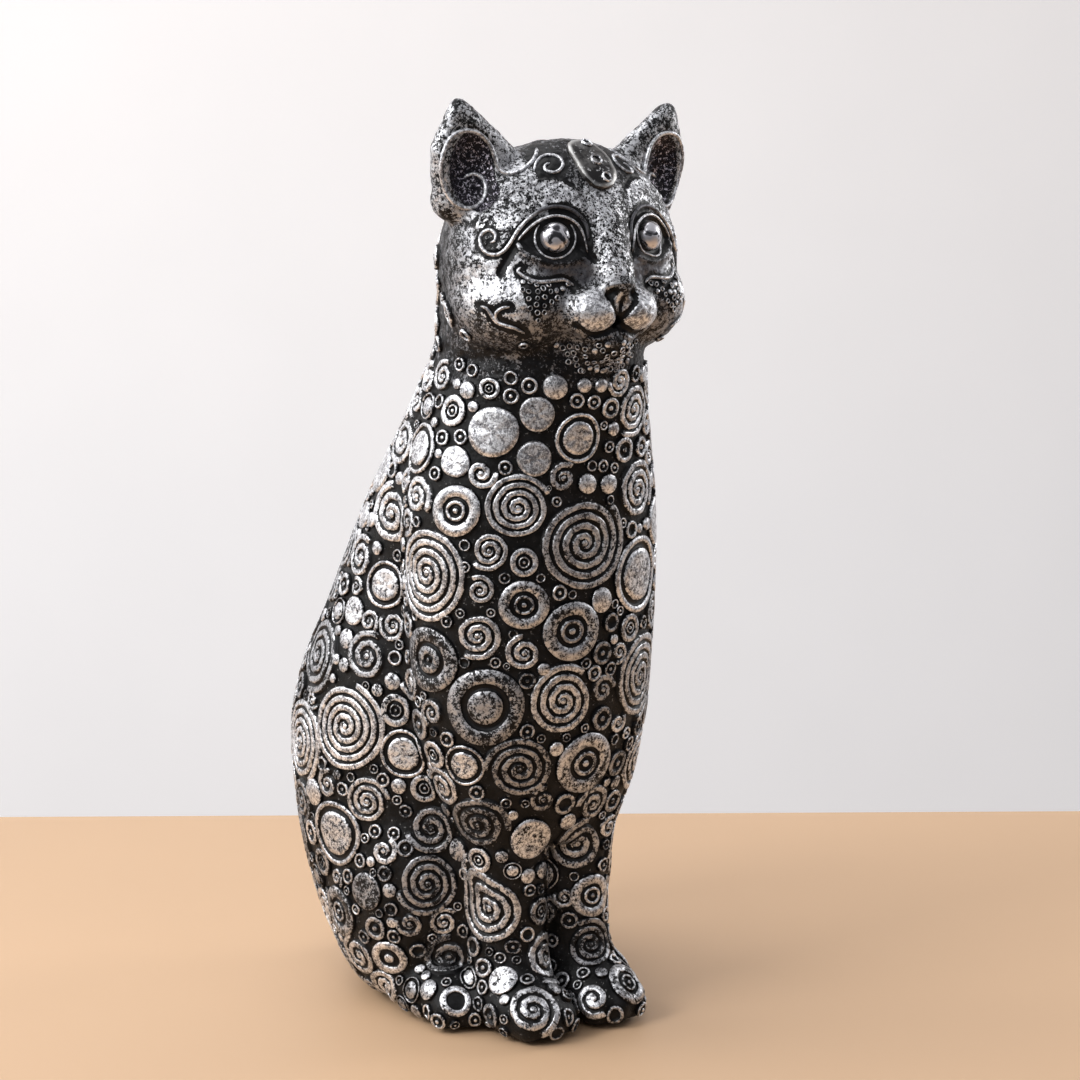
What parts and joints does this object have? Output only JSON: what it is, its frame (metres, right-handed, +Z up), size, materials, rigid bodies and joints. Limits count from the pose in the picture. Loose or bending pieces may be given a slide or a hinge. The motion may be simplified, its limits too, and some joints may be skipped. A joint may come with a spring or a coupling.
{
  "type": "cat figurine",
  "caption": "Seated cat figurine, cast hollow in a body shell and a head shell with inset domed eyes, on felt pads.",
  "frame": {"origin": "on the plane the figure rests on, under the middle of its bounding box", "axes": "+Z up, the cat faces -Y, +X is towards the cat's own left side"},
  "size_m": [0.1047, 0.153, 0.3006],
  "materials": {
    "cast_shell": "satin",
    "eye_dome": "gloss",
    "stopper": "matte",
    "felt": "matte"
  },
  "bodies": {
    "root": {"body_shell": "cast_shell", "head_shell": "cast_shell", "eye_left": "eye_dome", "eye_right": "eye_dome", "vent_plug": "stopper", "felt_pad_front_left": "felt", "felt_pad_front_right": "felt", "felt_pad_rear_left": "felt", "felt_pad_rear_right": "felt"}
  },
  "joints": []
}
